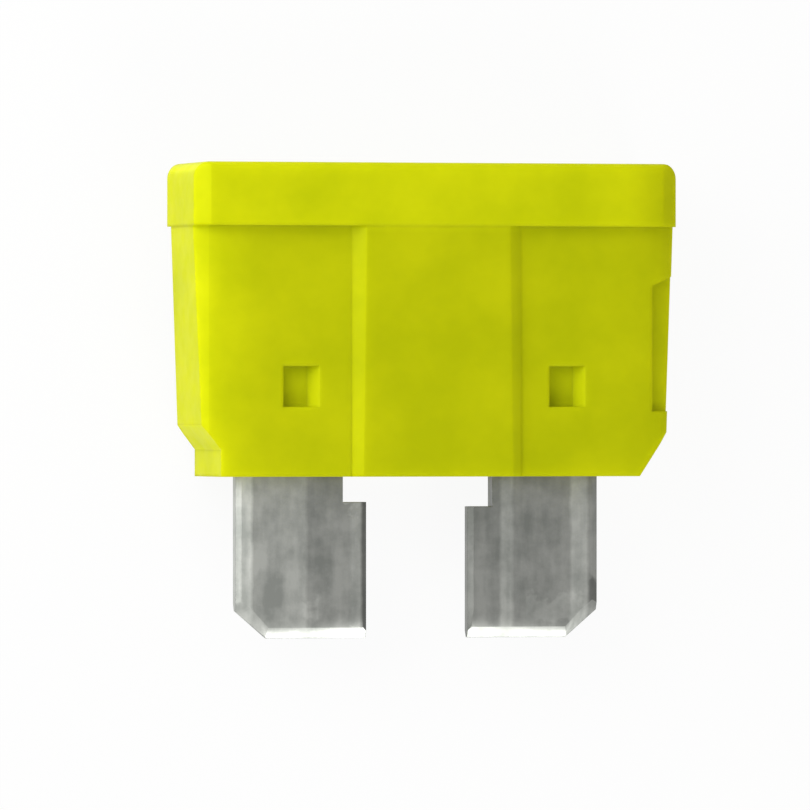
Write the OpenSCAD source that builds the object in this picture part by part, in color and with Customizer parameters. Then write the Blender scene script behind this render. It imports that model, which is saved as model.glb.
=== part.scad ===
// Automotive blade fuse: a moulded housing over a one-piece stamped zinc element.
// It lies on its back: X runs across the two blades, +Y points from the blade tips
// to the head, +Z is the front face. Heights below are measured from the blade tips.

/* [Overall] */
// Length from the blade tips to the top of the head
overall_l = 18.5; // [18:0.1:21]
// Thickness of the head, front to back
head_t = 5.2; // [5:0.1:6.5]
// Length of blade that stands out of the housing
blade_out = 6.3; // [5.5:0.1:6.8]

/* [Head] */
// Width of the head
head_w = 19.4; // [19:0.1:20.5]
// Height of the head band
head_h = 2.46; // [2.3:0.02:2.8]
// Radius of the head's two upper corners, seen from the front
head_corner_r = 0.6; // [0.3:0.05:1]
// Radius along the head's upper front and back edges
head_edge_r = 0.35; // [0.15:0.05:0.5]

/* [Housing sides] */
// Step from the head in to the body at the left end
left_step = 0.06; // [0.02:0.02:0.2]
// Step from the head in to the body at the right end
right_step = 0.01; // [0.01:0.01:0.2]
// Draft of each end from under the head to the lower corner
end_draft = 0.3; // [0.1:0.05:0.5]
// Width across each face of the flats that cut the four upright corners
corner_w = 0.75; // [0.5:0.05:0.8]
// Depth from front to back of those flats
corner_d = 0.42; // [0.2:0.02:0.5]
// Width of the band by each end where the face curves away
bow_w = 2.3; // [1.5:0.1:2.8]
// Depth that the face falls in that band
bow_d = 0.15; // [0.1:0.05:0.3]
// Width of the long slant at the right lower corner
slant_w = 1.15; // [0.5:0.05:1.4]
// Height of that slant
slant_h = 1.72; // [1:0.02:2.2]
// Height of the foot below the tapered left end
foot_h = 2; // [1:0.05:2.4]
// Width of the step at the left lower corner
notch_in = 0.74; // [0.3:0.02:0.9]
// Height of the slope that leads in to that step
notch_h = 0.95; // [0.4:0.05:1]

/* [Face relief] */
// Width of the raised centre panel under the head
panel_w = 5.6; // [5.4:0.1:6.4]
// Angle by which each side of the panel leans in towards its foot
panel_lean = 0.8; // [0:0.1:1]
// Drop of the panel below the head's face
panel_drop = 0.05; // [0.02:0.01:0.08]
// Depth of the thinner body below the head's face
recess_d = 0.4; // [0.3:0.05:0.6]
// Width of the slope between the panel and the thinner body
flank_w = 0.6; // [0.3:0.05:0.7]
// Distance from the head's right end in to the upright wall of the corner pockets
pocket_w = 0.95; // [0.7:0.05:1.1]
// Distance from the underside of the head to a corner pocket
pocket_drop = 2.3; // [1.5:0.05:2.6]
// Length of a corner pocket down the body
pocket_l = 4.9; // [3:0.1:5.2]
// Depth of a corner pocket below the body's face, at its upright wall
pocket_d = 0.26; // [0.2:0.02:0.4]
// Depth of a corner pocket below the body's face, at the end of the body
pocket_end_d = 0.52; // [0.44:0.02:0.6]
// Height by which a pocket's upper end slants up towards the outside
pocket_rise = 0.4; // [0.1:0.05:0.6]

/* [Stakes] */
// Distance of each stake from the element's centre line
stake_x = 5.35; // [5.15:0.05:5.5]
// Height of the stakes above the housing's lower edge
stake_up = 3.5; // [3:0.1:4]
// Width of a stake's floor
stake_w = 1.08; // [0.7:0.02:1.2]
// Height of a stake
stake_h = 1.58; // [1.3:0.02:1.8]
// Depth of a stake below the body's face
stake_d = 0.45; // [0.3:0.05:0.7]
// Width of the slope at the right of a stake; its other sides are upright
stake_flank = 0.38; // [0.2:0.02:0.45]

/* [Hollow] */
// Thickness of the housing above the element
roof = 1.1; // [0.9:0.05:1.3]
// Front to back width of the hollow round the link
hollow_t = 3.3; // [2.8:0.1:3.4]
// Width of the hollow round the link
hollow_w = 5; // [4.6:0.1:5.1]
// Thickness of the housing above that hollow
hollow_roof = 2.3; // [2:0.1:2.8]
// Length of each test window in the head
window_l = 2.4; // [1.8:0.1:2.6]
// Front to back width of each test window
window_t = 1.3; // [1.1:0.1:1.6]
// Distance of each test window from the centre line
window_x = 5.6; // [5.2:0.1:5.8]

/* [Element] */
// Distance between the centre lines of the blades
blade_pitch = 9.35; // [9.25:0.05:9.6]
// Width of a blade
blade_w = 5.25; // [5.05:0.05:5.4]
// Thickness of the stamped strip
blade_t = 0.65; // [0.6:0.05:0.8]
// Width that each blade loses above its inner shoulder
notch_w = 0.97; // [0.8:0.05:1.1]
// Distance from the housing down to the left blade's shoulder
left_drop = 1; // [0.8:0.05:1.5]
// Distance from the housing down to the right blade's shoulder
right_drop = 1.18; // [0.8:0.02:1.5]
// Distance that the element sits to the left of the housing's middle
element_off = 0.25; // [0:0.05:0.35]
// Height of the cut-off outer corner at each tip
tip_h = 1.07; // [0.8:0.05:1.3]
// Width of the cut-off outer corner at each tip
tip_w = 1.25; // [0.9:0.05:1.5]
// Height of the steep bevel at the very tip
bevel_h = 0.41; // [0.3:0.02:0.5]
// Thickness left at the very tip
edge_t = 0.12; // [0.1:0.02:0.3]
// Thickness where the steep bevel meets the slight one
mid_t = 0.55; // [0.45:0.05:0.55]
// Width of the coined slope along each long edge and cut corner
coin_w = 0.22; // [0.1:0.02:0.3]
// Depth of that slope on each face
coin_d = 0.12; // [0.05:0.01:0.2]
// Gap between the element and the housing, on each side
clear = 0.08; // [0.05:0.01:0.1]

/* [Link] */
// Width of the fusible link
link_w = 0.9; // [0.6:0.05:1.1]
// Thickness that the link is thinned to
link_t = 0.3; // [0.2:0.02:0.5]
// Outer radius of the link's arch
link_r = 1.6; // [1.4:0.05:1.7]
// Height of the link's feet above the housing's lower edge
link_up = 5; // [4.5:0.1:5.5]
// Height of the straight legs under the arch
link_leg = 1.6; // [1.2:0.1:1.8]

/* [Hidden] */
$fn = 48;
over = 1;
body_top = overall_l - head_h;
body_left = left_step - head_w / 2;
body_right = head_w / 2 - right_step;
foot_left = body_left + end_draft;
foot_right = body_right - end_draft;
foot_top = blade_out + foot_h;
panel_t = head_t - 2 * panel_drop;
body_t = head_t - 2 * recess_d;
body_z = body_t / 2;
bow_r = (bow_w * bow_w + bow_d * bow_d) / (2 * bow_d);
blade_in = (blade_pitch - blade_w) / 2;
blade_end = (blade_pitch + blade_w) / 2;
neck_in = blade_in + notch_w;
strip_top = overall_l - roof;
slot_t = blade_t + 2 * clear;
slot_w = 2 * (blade_end + clear);
stake_y = blade_out + stake_up;
stake_hole_r = norm([stake_w, stake_h]) / 2 + clear;
link_y = blade_out + link_up;
arch_y = link_y + link_w + link_leg;

// Everything is drawn upright about its mid plane, then set down on its back.
module laid() {
    translate([0, -overall_l / 2, head_t / 2]) children();
}

module both_sides() {
    children();
    mirror([1, 0, 0]) children();
}

// The element, and the hollow that holds it, sit a little to the left.
module off_centre() {
    translate([-element_off, 0, 0]) children();
}

module both_faces() {
    children();
    mirror([0, 0, 1]) children();
}

// Draws a front view outline as a slab of thickness t.
module slab(t) {
    translate([0, 0, -t / 2]) linear_extrude(t) children();
}

// Runs a section in X and Z up the height from y0 to y1.
module upright(y0, y1) {
    translate([0, y0, 0]) rotate([-90, 0, 0]) linear_extrude(y1 - y0) children();
}

// Runs a section in Y and Z across the width w.
module across(w) {
    translate([-w / 2, 0, 0]) rotate([90, 0, 90]) linear_extrude(w) children();
}

// A plan as wide as the head and t thick, with its four corners cut off by flats.
module cut_plan(t) {
    x = head_w / 2;
    z = t / 2;
    polygon([
        [-x, corner_d - z], [corner_w - x, -z], [x - corner_w, -z], [x, corner_d - z],
        [x, z - corner_d], [x - corner_w, z], [corner_w - x, z], [-x, z - corner_d]
    ]);
}

module rounded_plan(w, t, r) {
    square([w - 2 * r, t], center = true);
    square([w, t - 2 * r], center = true);
    for (x = [-1, 1], y = [-1, 1])
        translate([x * (w / 2 - r), y * (t / 2 - r)]) circle(r);
}

// The faces stay flat across the middle and fall on an arc towards each end.
module bowed_plan(t) {
    flat = head_w / 2 - bow_w;
    intersection() {
        cut_plan(t);
        union() {
            square([2 * flat, t], center = true);
            both_sides() intersection() {
                translate([flat, bow_r - t / 2]) circle(bow_r, $fn = 180);
                translate([flat, t / 2 - bow_r]) circle(bow_r, $fn = 180);
                translate([flat - over, -t / 2]) square([bow_w + over, t]);
            }
        }
    }
}

module head_front() {
    r = head_corner_r;
    translate([-head_w / 2, body_top]) square([head_w, head_h - r]);
    translate([r - head_w / 2, body_top]) square([head_w - 2 * r, head_h]);
    for (x = [-1, 1]) translate([x * (head_w / 2 - r), overall_l - r]) circle(r);
}

// The body tapers down to its foot, which steps in on the left and slants in on the right.
module body_front() {
    polygon([
        [foot_left + notch_in, blade_out],
        [foot_right - slant_w, blade_out],
        [foot_right, blade_out + slant_h],
        [body_right, body_top],
        [body_left, body_top],
        [foot_left, foot_top],
        [foot_left + notch_in, foot_top - notch_h]
    ]);
}

// Side view of the head, with its upper edges rounded.
module head_side() {
    r = head_edge_r;
    translate([body_top, -head_t / 2]) square([head_h - r, head_t]);
    translate([body_top, r - head_t / 2]) square([head_h, head_t - 2 * r]);
    for (y = [-1, 1]) translate([overall_l - r, y * (head_t / 2 - r)]) circle(r);
}

module head() {
    intersection() {
        slab(head_t) head_front();
        across(head_w) head_side();
        upright(body_top, overall_l) bowed_plan(head_t);
    }
}

module body() {
    intersection() {
        slab(body_t) body_front();
        upright(blade_out, body_top) bowed_plan(body_t);
    }
}

// Cuts the slope beside the panel and all that stands out from the body beyond it.
module panel_side() {
    translate([panel_w / 2, body_top, 0]) rotate([0, 0, panel_lean])
        translate([-panel_w / 2, -body_top, 0]) upright(0, body_top + over) polygon([
            [panel_w / 2 - flank_w, -head_t / 2 - recess_d],
            [panel_w / 2 + flank_w, -body_z],
            [head_w, -body_z],
            [head_w, -head_t / 2 - recess_d]
        ]);
}

module centre_panel() {
    w = panel_w + 2 * flank_w;
    difference() {
        slab(panel_t) translate([-w / 2, blade_out]) square([w, body_top - blade_out]);
        both_sides() both_faces() panel_side();
    }
}

// A pocket steps down along a right-hand corner. Its floor falls away to the end of the body.
module corner_pocket() {
    inner = head_w / 2 - pocket_w;
    outer = head_w / 2;
    top = body_top - pocket_drop;
    intersection() {
        slab(2 * head_t) polygon([
            [inner, top - pocket_l], [outer, top - pocket_l], [outer, top + pocket_rise], [inner, top]
        ]);
        upright(0, body_top) polygon([
            [inner, pocket_d - body_z], [outer, pocket_end_d - body_z], [outer, -head_t], [inner, -head_t]
        ]);
    }
}

// Puts the same thing, not its mirror image, at both stakes.
module at_stakes() {
    for (x = [-stake_x, stake_x]) translate([x, stake_y, 0]) children();
}

// A stake is a dimple in the body's face, sloped on its right.
module stake_dimple() {
    half = stake_w / 2;
    upright(-stake_h / 2, stake_h / 2) polygon([
        [-half, stake_d - body_z],
        [half, stake_d - body_z],
        [half + stake_flank, -body_z],
        [half + stake_flank, -body_z - over],
        [-half, -body_z - over]
    ]);
}

// The plastic that the stakes drive through the element's anchor holes.
module stake_core() {
    cube([stake_w, stake_h, slot_t], center = true);
}

module inner_hollow() {
    upright(0, strip_top + clear) square([slot_w, slot_t], center = true);
    upright(0, overall_l - hollow_roof)
        rounded_plan(hollow_w, hollow_t, (hollow_t - slot_t) / 4);
}

module test_window() {
    translate([window_x, 0, 0]) upright(strip_top, overall_l + over)
        rounded_plan(window_l, window_t, window_t / 3);
}

module housing() {
    color("#c6d010") laid() {
        difference() {
            union() {
                head();
                body();
                centre_panel();
            }
            both_faces() corner_pocket();
            off_centre() {
                inner_hollow();
                both_sides() test_window();
                at_stakes() both_faces() stake_dimple();
            }
        }
        off_centre() at_stakes() stake_core();
    }
}

module broad_front(shoulder) {
    polygon([
        [blade_in, 0],
        [blade_end - tip_w, 0],
        [blade_end, tip_h],
        [blade_end, shoulder],
        [blade_in, shoulder]
    ]);
}

module neck_front(shoulder) {
    translate([neck_in, shoulder - coin_w]) square([blade_w - notch_w, strip_top - shoulder + coin_w]);
}

// Half of a side view, doubled about the mid plane.
module doubled() {
    children();
    mirror([0, 1]) children();
}

// Side view of a blade: a steep bevel at the tip, then a slight one.
module broad_side(shoulder) {
    doubled() polygon([
        [0, 0],
        [0, edge_t / 2],
        [bevel_h, mid_t / 2],
        [tip_h, blade_t / 2],
        [shoulder, blade_t / 2],
        [shoulder, 0]
    ]);
}

// Plan of a blade, coined along both long edges.
module coined_plan() {
    doubled() polygon([
        [blade_in, 0],
        [blade_in, blade_t / 2 - coin_d],
        [blade_in + coin_w, blade_t / 2],
        [blade_end - coin_w, blade_t / 2],
        [blade_end, blade_t / 2 - coin_d],
        [blade_end, 0]
    ]);
}

// The same slope, square to the cut-off corner.
module corner_coin() {
    translate([blade_end - tip_w, 0, 0]) rotate([0, 0, atan2(tip_h, tip_w)]) across(4 * overall_l)
        doubled() polygon([
            [0, 0],
            [0, blade_t / 2 - 2 * coin_d],
            [2 * coin_w, blade_t / 2],
            [2 * overall_l, blade_t / 2],
            [2 * overall_l, 0]
        ]);
}

module blade(shoulder) {
    intersection() {
        union() {
            intersection() {
                slab(blade_t) broad_front(shoulder);
                across(head_w) broad_side(shoulder);
            }
            slab(blade_t) neck_front(shoulder);
        }
        upright(0, strip_top) coined_plan();
        corner_coin();
    }
}

module anchor_hole() {
    translate([stake_x, stake_y, 0]) cylinder(r = stake_hole_r, h = head_t, center = true);
}

// The link leaves each blade level, turns up a leg and closes over in an arch.
module link_front() {
    inner = link_r - link_w;
    both_sides() {
        translate([inner, link_y]) square([neck_in + link_w - inner, link_w]);
        translate([inner, link_y]) square([link_w, arch_y - link_y]);
    }
    translate([0, arch_y]) intersection() {
        difference() {
            circle(link_r);
            circle(inner);
        }
        translate([-link_r, 0]) square([2 * link_r, link_r]);
    }
}

module fuse_element() {
    color("#9b9d97") laid() off_centre() difference() {
        union() {
            blade(blade_out - right_drop);
            mirror([1, 0, 0]) blade(blade_out - left_drop);
            slab(link_t) link_front();
        }
        both_sides() anchor_hole();
    }
}

housing();
fuse_element();
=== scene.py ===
from math import cos, radians, sin

import bpy
from mathutils import Matrix, Vector


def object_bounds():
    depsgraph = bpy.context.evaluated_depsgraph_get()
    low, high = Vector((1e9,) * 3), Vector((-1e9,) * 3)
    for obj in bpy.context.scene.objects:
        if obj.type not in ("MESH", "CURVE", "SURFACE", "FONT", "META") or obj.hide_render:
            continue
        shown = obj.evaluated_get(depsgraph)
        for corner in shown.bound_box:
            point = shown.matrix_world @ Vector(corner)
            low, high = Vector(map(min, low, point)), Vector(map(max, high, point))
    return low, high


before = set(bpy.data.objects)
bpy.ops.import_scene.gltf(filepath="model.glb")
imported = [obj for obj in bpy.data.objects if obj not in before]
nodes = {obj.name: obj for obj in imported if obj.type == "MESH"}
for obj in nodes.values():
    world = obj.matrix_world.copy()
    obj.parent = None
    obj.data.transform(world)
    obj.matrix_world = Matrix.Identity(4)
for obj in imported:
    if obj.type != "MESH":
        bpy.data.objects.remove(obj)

mm = 0.001
scene = bpy.context.scene
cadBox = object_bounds()
low, high = Vector(cadBox[0]), Vector(cadBox[1])
middle = (low + high) / 2
print("frame loaded:", sorted(nodes))


# Small helpers for node materials

def newMaterial(name):
    material = bpy.data.materials.new(name)
    material.use_nodes = True
    tree = material.node_tree
    tree.nodes.clear()
    return material, tree


def addNode(tree, kind, inputs=None, **settings):
    node = tree.nodes.new(kind)
    for key, value in settings.items():
        setattr(node, key, value)
    for key, value in (inputs or {}).items():
        if isinstance(value, bpy.types.NodeSocket):
            tree.links.new(value, node.inputs[key])
        else:
            node.inputs[key].default_value = value
    return node


def axes(tree, vector):
    return addNode(tree, "ShaderNodeSeparateXYZ", {"Vector": vector}).outputs


def placeAxes(tree):
    return axes(tree, addNode(tree, "ShaderNodeTexCoord").outputs["Object"])


def faceAxes(tree):
    return axes(tree, addNode(tree, "ShaderNodeNewGeometry").outputs["True Normal"])


def stretched(tree, scale):
    # the object's own coordinates, in metres, stretched per axis
    place = addNode(tree, "ShaderNodeTexCoord")
    mapping = addNode(tree, "ShaderNodeMapping", {"Vector": place.outputs["Object"], "Scale": scale})
    return mapping.outputs["Vector"]


def noise(tree, vector, scale, detail, roughness):
    node = addNode(tree, "ShaderNodeTexNoise", {
        "Vector": vector, "Scale": scale, "Detail": detail, "Roughness": roughness})
    return node.outputs["Fac"]


def ranged(tree, value, fromLow, fromHigh, toLow, toHigh):
    node = addNode(tree, "ShaderNodeMapRange", {
        "Value": value, "From Min": fromLow, "From Max": fromHigh, "To Min": toLow, "To Max": toHigh})
    return node.outputs["Result"]


def mixed(tree, factor, first, second, blend="MIX"):
    node = addNode(tree, "ShaderNodeMix", data_type="RGBA", blend_type=blend)
    for slot, value in ((0, factor), (6, first), (7, second)):
        if isinstance(value, bpy.types.NodeSocket):
            tree.links.new(value, node.inputs[slot])
        else:
            node.inputs[slot].default_value = value
    return node.outputs[2]


def arithmetic(tree, operation, first, second):
    node = addNode(tree, "ShaderNodeMath", operation=operation)
    for slot, value in enumerate((first, second)):
        if isinstance(value, bpy.types.NodeSocket):
            tree.links.new(value, node.inputs[slot])
        else:
            node.inputs[slot].default_value = value
    return node.outputs[0]


def blended(tree, first, firstShare, second, secondShare):
    return arithmetic(tree, "ADD", arithmetic(tree, "MULTIPLY", first, firstShare),
                      arithmetic(tree, "MULTIPLY", second, secondShare))


def softened(tree, radius):
    # the surface direction, blended across the edges
    return addNode(tree, "ShaderNodeBevel", {"Radius": radius}, samples=6).outputs["Normal"]


def finishWith(tree, shader):
    output = addNode(tree, "ShaderNodeOutputMaterial")
    tree.links.new(shader, output.inputs["Surface"])


# Housing: soft-edged yellow moulding

housingLook = {
    "colour": (0.61, 0.64, 0.003, 1.0),
    "deepColour": (0.52, 0.565, 0.002, 1.0),
    # colour clouds, moulded skin and fine grain, in waves per metre
    "cloudScale": 260.0,
    "peelScale": 1500.0,
    "grainScale": 5200.0,
    "roughness": 0.42,
    "specular": 0.035,
    "bumpStrength": 0.25,
    "bumpHeight": 0.03 * mm,
    "subsurface": 0.6,
    "scatter": 1.4 * mm,
    "scatterTint": (1.0, 0.9, 0.15),
    "softEdge": 0.22 * mm,
    # painted light and shade: the solid head and the left end, toward the lamp, are painted paler than
    # the thin body, and the right end is painted in deeper shade, by a share for the head and one for the
    # body
    "leftEnd": (-8.7 * mm, -6.7 * mm),
    "headFoot": (6.5 * mm, 6.9 * mm),
    "rightEnd": (7.6 * mm, 9.7 * mm),
    "shadedBodyTone": 0.95,
    "litSolidTone": 1.09,
    "rightShadeShare": (0.21, 0.08),
    # painted light: thin slopes that face the lamp on the left are painted a little paler, and the tone
    # falls back for faces turned straight left: X of the surface direction, then the tone there
    "slopeFrom": (-0.30, -0.75),
    "slopeTo": (-0.85, -0.97),
    "slopeLitTone": 1.16,
    "endTone": 0.83,
}


# painted light and shade: paler on the head and toward the lamp on the left, painted shade at the right
# end
def paintedSideLight(tree, look):
    place = placeAxes(tree)
    across = ranged(tree, place["X"], *look["leftEnd"], 0.0, 1.0)
    below = ranged(tree, place["Y"], *look["headFoot"], 1.0, 0.0)
    thin = arithmetic(tree, "MULTIPLY", across, below)
    tone = ranged(tree, thin, 0.0, 1.0, look["litSolidTone"], look["shadedBodyTone"])
    right = ranged(tree, place["X"], *look["rightEnd"], 0.0, 1.0)
    paintedShade = ranged(tree, below, 0.0, 1.0, *look["rightShadeShare"])
    kept = arithmetic(tree, "SUBTRACT", 1.0, arithmetic(tree, "MULTIPLY", right, paintedShade))
    return arithmetic(tree, "MULTIPLY", tone, kept)


# painted light on faces turned toward the lamp on the left
def paintedSlopeLight(tree, look):
    facing = faceAxes(tree)["X"]
    rise = ranged(tree, facing, *look["slopeFrom"], 1.0, look["slopeLitTone"])
    fall = ranged(tree, facing, *look["slopeTo"], 1.0, look["endTone"])
    return arithmetic(tree, "MULTIPLY", rise, fall)


def housingPlastic(look):
    material, tree = newMaterial("yellow_plastic")
    place = stretched(tree, (1.0, 1.0, 1.0))
    cloud = noise(tree, place, look["cloudScale"], 4.0, 0.6)
    grain = noise(tree, place, look["grainScale"], 2.0, 0.5)
    tone = ranged(tree, cloud, 0.35, 0.65, 0.0, 1.0)
    colour = mixed(tree, tone, look["deepColour"], look["colour"])
    # painted light and shade over the housing, then painted light on the slopes that face the lamp
    colour = mixed(tree, 1.0, colour, paintedSideLight(tree, look), "MULTIPLY")
    colour = mixed(tree, 1.0, colour, paintedSlopeLight(tree, look), "MULTIPLY")
    peel = noise(tree, place, look["peelScale"], 2.0, 0.5)
    height = arithmetic(tree, "ADD", peel, arithmetic(tree, "MULTIPLY", grain, 0.35))
    bump = addNode(tree, "ShaderNodeBump", {
        "Strength": look["bumpStrength"], "Distance": look["bumpHeight"],
        "Height": height, "Normal": softened(tree, look["softEdge"])})
    gloss = ranged(tree, peel, 0.3, 0.7, look["roughness"] - 0.05, look["roughness"] + 0.08)
    shader = addNode(tree, "ShaderNodeBsdfPrincipled", {
        "Base Color": colour, "Roughness": gloss, "Normal": bump.outputs["Normal"],
        "IOR": 1.49, "Subsurface Weight": look["subsurface"], "Subsurface Scale": look["scatter"],
        "Subsurface Radius": look["scatterTint"], "Specular IOR Level": look["specular"]})
    finishWith(tree, shader.outputs["BSDF"])
    return material


# Fuse element: stamped zinc strip

elementLook = {
    "colour": (0.985, 1.0, 0.935, 1.0),
    "darkColour": (0.635, 0.66, 0.61, 1.0),
    # crystal spangle, rolling streaks and pits, in waves per metre
    "spangleScale": 700.0,
    "streakScale": 1500.0,
    "streakStretch": (1.0, 0.16, 1.0),
    "pitScale": 4200.0,
    "metallic": 0.92,
    "roughness": 0.34,
    "bumpStrength": 0.35,
    "bumpHeight": 0.02 * mm,
    "softEdge": 0.05 * mm,
    # brightness of the painted highlight on the bevels at the tips, where they catch the light, and the Y
    # of the surface direction there
    "bevelShineTone": 0.51,
    "bevelFrom": (-0.30, -0.46),
    "bevelTo": (-0.50, -0.65),
    # grey of the rolled strip, and its lighter and darker marks in mm, partly rolling streaks and partly
    # painted light: X from, to, Y from, to, added tone
    "plainTone": 0.246,
    "markBlur": (0.07, 0.15),
    "markWander": (0.15 * mm, 3.0 * mm),
    "wanderScale": 1300.0,
    "streaksAndShine": (
        # painted highlight along the left blade's outer edge
        (-7.90, -6.92, -12.0, 8.0, 0.25),
        # the left blade's outer half painted paler, toward the lamp on the left
        (-7.90, -4.72, -12.0, 8.0, 0.11),
        (-4.72, -2.52, -12.0, 8.0, 0.025),
        (-2.95, -2.52, -12.0, -3.9, 0.06),
        (-2.52, -2.20, -12.0, -3.9, -0.10),
        (-3.30, -2.52, -4.30, -3.9, 0.10),
        (-4.95, -4.20, -8.55, -7.95, 0.05),
        (3.10, 3.60, -12.0, 8.0, 0.09),
        (5.95, 6.65, -12.0, 8.0, 0.12),
        (4.10, 7.20, -8.80, -7.80, 0.05),
        (6.70, 7.20, -8.20, -6.90, -0.10),
    ),
}


def window(tree, value, start, stop, blur):
    # 1 between start and stop, in mm
    rise = ranged(tree, value, (start - blur) * mm, (start + blur) * mm, 0.0, 1.0)
    fall = ranged(tree, value, (stop - blur) * mm, (stop + blur) * mm, 1.0, 0.0)
    return arithmetic(tree, "MULTIPLY", rise, fall)


# the rolled strip's streaks together with painted highlights on the left blade
def rolledToneAndShine(tree, look):
    place = placeAxes(tree)
    # the marks' borders wander a little across and more along the strip
    drift = noise(tree, stretched(tree, (1.0, 1.0, 1.0)), look["wanderScale"], 3.0, 0.6)
    drift = arithmetic(tree, "SUBTRACT", drift, 0.5)
    wandered = [arithmetic(tree, "ADD", place[axis], arithmetic(tree, "MULTIPLY", drift, reach))
                for axis, reach in zip("XY", look["markWander"])]
    blurs = look["markBlur"]
    tone = look["plainTone"]
    for left, right, bottom, top, gain in look["streaksAndShine"]:
        across = window(tree, wandered[0], left, right, blurs[0])
        along = window(tree, wandered[1], bottom, top, blurs[1])
        mark = arithmetic(tree, "MULTIPLY", across, along)
        tone = arithmetic(tree, "ADD", arithmetic(tree, "MULTIPLY", mark, gain), tone)
    return tone


def tipBevels(tree, look):
    # 1 on the steep bevels at the blade tips, where the painted highlight goes, 0 on the flat strip and
    # the thin end faces
    facing = faceAxes(tree)["Y"]
    steep = ranged(tree, facing, *look["bevelFrom"], 0.0, 1.0)
    face = ranged(tree, facing, *look["bevelTo"], 1.0, 0.0)
    return arithmetic(tree, "MULTIPLY", steep, face)


def stampedZinc(look):
    material, tree = newMaterial("stamped_zinc")
    place = stretched(tree, (1.0, 1.0, 1.0))
    drawn = stretched(tree, look["streakStretch"])
    spangle = noise(tree, place, look["spangleScale"], 5.0, 0.62)
    streak = noise(tree, drawn, look["streakScale"], 3.0, 0.55)
    pits = noise(tree, place, look["pitScale"], 2.0, 0.5)
    tone = blended(tree, spangle, 0.6, streak, 0.4)
    tone = ranged(tree, tone, 0.40, 0.60, 0.0, 1.0)
    colour = mixed(tree, tone, look["darkColour"], look["colour"])
    # the bevels at the tips get a painted highlight in place of the rolled tone
    tipShine = look["bevelShineTone"]
    toneWithShine = mixed(tree, tipBevels(tree, look), rolledToneAndShine(tree, look), (tipShine, tipShine, tipShine, 1.0))
    colour = mixed(tree, 1.0, colour, toneWithShine, "MULTIPLY")
    height = blended(tree, spangle, 0.7, pits, 0.3)
    bump = addNode(tree, "ShaderNodeBump", {
        "Strength": look["bumpStrength"], "Distance": look["bumpHeight"],
        "Height": height, "Normal": softened(tree, look["softEdge"])})
    gloss = ranged(tree, streak, 0.3, 0.7, look["roughness"] - 0.06, look["roughness"] + 0.12)
    shader = addNode(tree, "ShaderNodeBsdfPrincipled", {
        "Base Color": colour, "Metallic": look["metallic"], "Roughness": gloss,
        "Normal": bump.outputs["Normal"]})
    finishWith(tree, shader.outputs["BSDF"])
    return material


def smoothCurves(piece):
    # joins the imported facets, then shades the curves smooth and keeps the edges
    weld = piece.modifiers.new("weld", "WELD")
    weld.merge_threshold = 0.001 * mm
    split = piece.modifiers.new("edges", "EDGE_SPLIT")
    split.split_angle = radians(24)
    split.use_edge_sharp = False
    smooth = piece.modifiers.new("normals", "WEIGHTED_NORMAL")
    smooth.keep_sharp = True
    piece.data.shade_smooth()


def dress(name, material):
    piece = nodes[name]
    piece.data.materials.clear()
    piece.data.materials.append(material)
    smoothCurves(piece)
    print("dressed", name)


dress("housing", housingPlastic(housingLook))
dress("fuse_element", stampedZinc(elementLook))


# Floor, light and camera

white = (1.0, 1.0, 1.0, 1.0)
studio = {
    "floorSize": 1.2,
    "floorColour": (0.86, 0.86, 0.85, 1.0),
    "floorGlow": 0.93,
    "worldLevel": 0.50,
    "lamps": (
        # name, direction to the lamp, distance, size, power
        ("left soft box", (-0.75, 0.44, 0.50), 0.105, 0.10, 0.082),
        ("tip strip", (0.26, -0.76, 0.595), 0.20, 0.10, 0.12),
    ),
}
cameraSetup = {
    "turn": 15.0,
    "distance": 0.42,
    "pixelsPerMm": 25.6,
    "imageSize": 810,
    "centrePixel": (421.7, 400.7),
    "sensor": 36.0,
}


def cleanViewRays(tree):
    # 1 for what the camera sees, straight or in a reflection
    rays = addNode(tree, "ShaderNodeLightPath")
    seen = arithmetic(tree, "MAXIMUM", rays.outputs["Is Camera Ray"], rays.outputs["Is Glossy Ray"])
    return arithmetic(tree, "MAXIMUM", seen, rays.outputs["Is Transmission Ray"])


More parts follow.
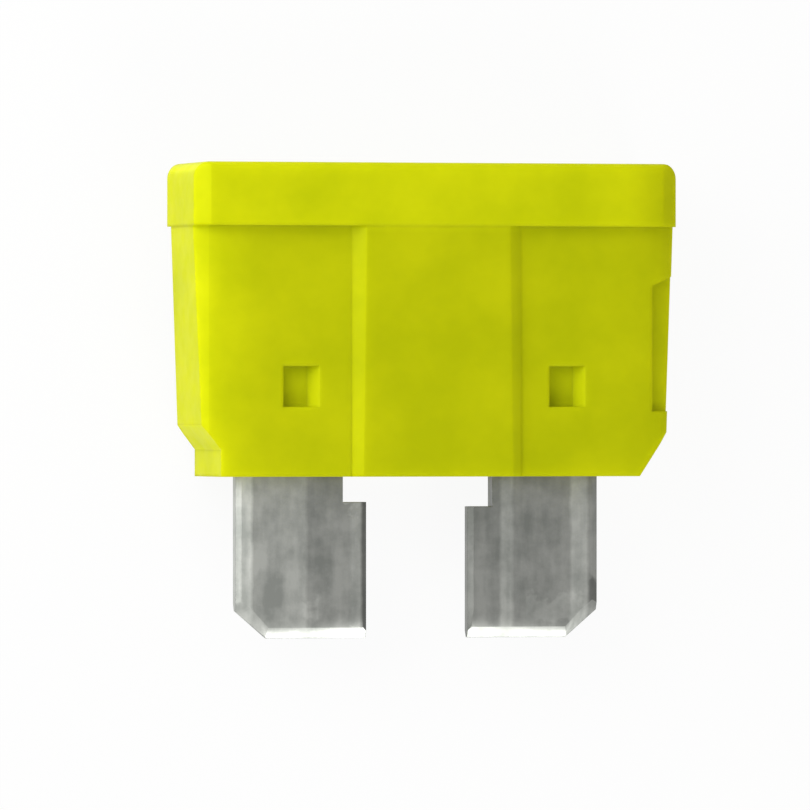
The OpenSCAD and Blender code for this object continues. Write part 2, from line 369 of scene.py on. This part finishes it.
def floorPlane(look):
    mesh = bpy.data.meshes.new("floor")
    half = look["floorSize"] / 2
    corners = [(-half, -half, 0), (half, -half, 0), (half, half, 0), (-half, half, 0)]
    mesh.from_pydata(corners, [], [(0, 1, 2, 3)])
    floor = bpy.data.objects.new("floor", mesh)
    scene.collection.objects.link(floor)
    floor.location.z = low.z
    material, tree = newMaterial("pale_floor")
    diffuse = addNode(tree, "ShaderNodeBsdfDiffuse", {"Color": look["floorColour"]})
    glow = addNode(tree, "ShaderNodeEmission", {"Color": white, "Strength": 1.0})
    share = arithmetic(tree, "MULTIPLY", cleanViewRays(tree), look["floorGlow"])
    mix = addNode(tree, "ShaderNodeMixShader", {0: share, 1: diffuse.outputs[0], 2: glow.outputs[0]})
    finishWith(tree, mix.outputs[0])
    mesh.materials.append(material)


def whiteWorld(look):
    world = bpy.data.worlds.new("studio")
    world.use_nodes = True
    tree = world.node_tree
    tree.nodes.clear()
    level = ranged(tree, cleanViewRays(tree), 0.0, 1.0, look["worldLevel"], 1.0)
    background = addNode(tree, "ShaderNodeBackground", {"Color": white, "Strength": level})
    output = addNode(tree, "ShaderNodeOutputWorld")
    tree.links.new(background.outputs[0], output.inputs["Surface"])
    scene.world = world


def aimed(position, target, up=Vector((0, 1, 0))):
    back = (position - target).normalized()
    right = up.cross(back).normalized()
    turn = Matrix((right, back.cross(right), back)).transposed().to_4x4()
    return Matrix.Translation(position) @ turn


def softLamps(look):
    for name, direction, distance, size, power in look["lamps"]:
        data = bpy.data.lights.new(name, "AREA")
        data.shape = "DISK"
        data.size = size
        data.energy = power
        lamp = bpy.data.objects.new(name, data)
        scene.collection.objects.link(lamp)
        lamp.matrix_world = aimed(middle + Vector(direction).normalized() * distance, middle)


def photoCamera(setup):
    angle = radians(setup["turn"])
    back = Vector((-sin(angle), 0.0, cos(angle)))
    right = Vector((cos(angle), 0.0, sin(angle)))
    pixel = mm / setup["pixelsPerMm"]
    half = setup["imageSize"] / 2
    aim = middle - right * (setup["centrePixel"][0] - half) * pixel
    aim = aim + Vector((0, 1, 0)) * (setup["centrePixel"][1] - half) * pixel
    data = bpy.data.cameras.new("photo camera")
    data.sensor_width = setup["sensor"]
    data.lens = setup["sensor"] * setup["distance"] / (setup["imageSize"] * pixel)
    data.clip_start = 0.01
    data.clip_end = 10.0
    camera = bpy.data.objects.new("photo camera", data)
    scene.collection.objects.link(camera)
    camera.matrix_world = aimed(aim + back * setup["distance"], aim)
    scene.camera = camera


floorPlane(studio)
whiteWorld(studio)
softLamps(studio)
photoCamera(cameraSetup)
scene.view_settings.view_transform = "Standard"
print("studio ready")
